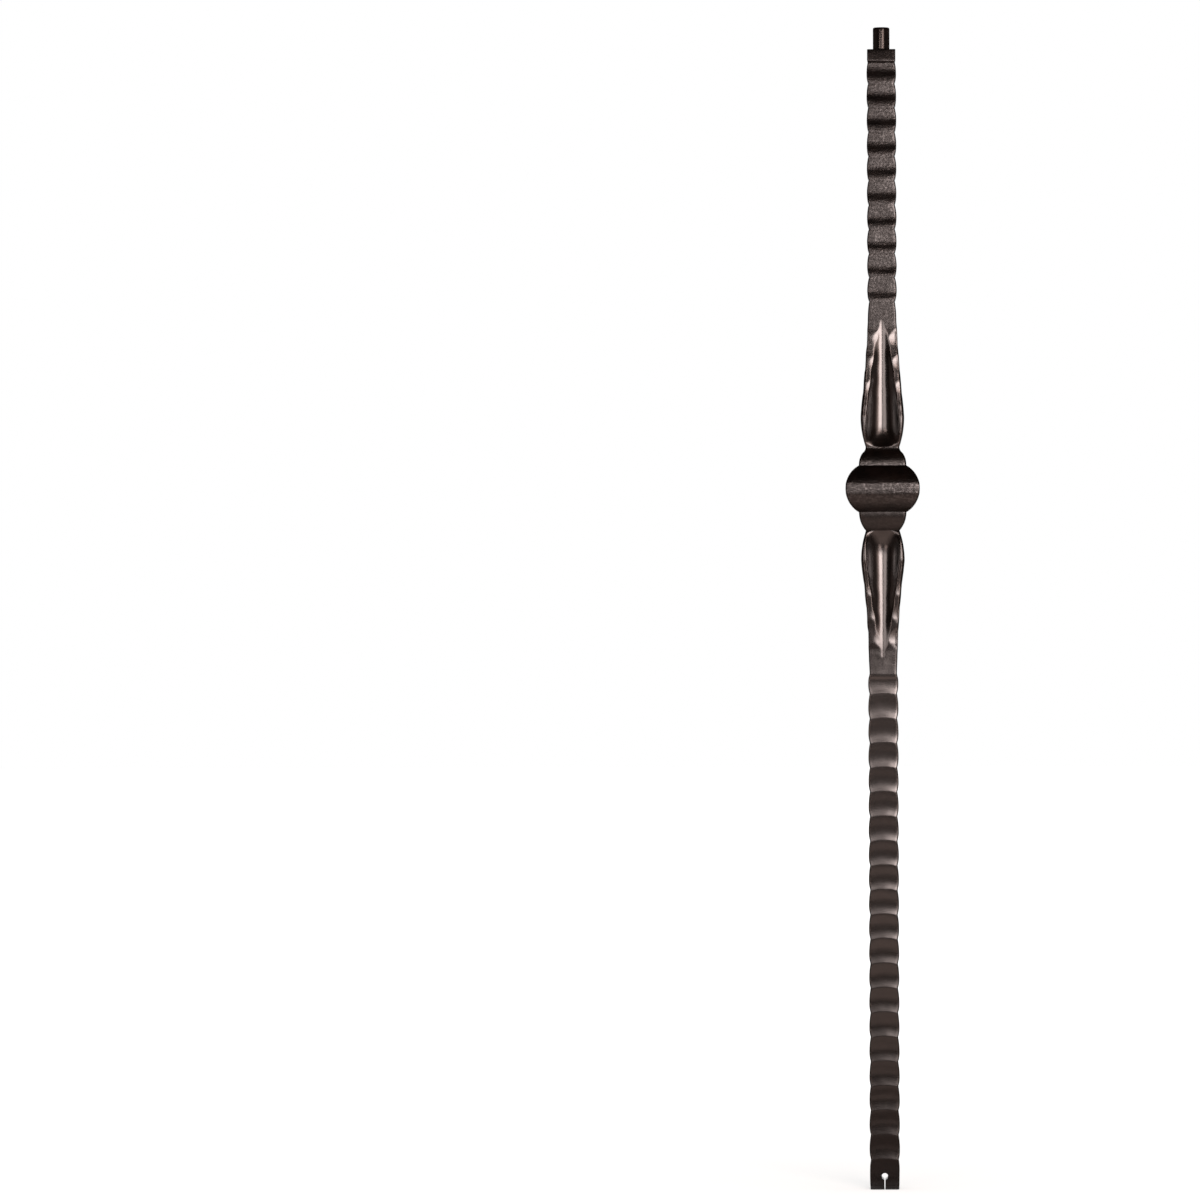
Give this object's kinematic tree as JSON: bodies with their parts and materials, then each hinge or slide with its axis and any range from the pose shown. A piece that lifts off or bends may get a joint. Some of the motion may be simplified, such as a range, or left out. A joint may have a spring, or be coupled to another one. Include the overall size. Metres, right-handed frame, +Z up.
{
  "type": "iron newel post",
  "caption": "Square hammered iron newel post, forged near its middle into a knuckle between fluted spears, with a round pin on top and a drilled, split foot.",
  "frame": {"origin": "middle of the foot's end, on the surface that the post stands on", "axes": "+Z up along the post towards the pin; the four faces look along X and Y, and the cross hole runs along Y"},
  "size_m": [0.078, 0.078, 1.219],
  "materials": {
    "coated_iron": "satin dark bronze-black coat with a fine sandy grain, smoother and glossier in the flutes and on the pin"
  },
  "bodies": {
    "root": {"newel_post": "coated_iron"}
  },
  "joints": []
}
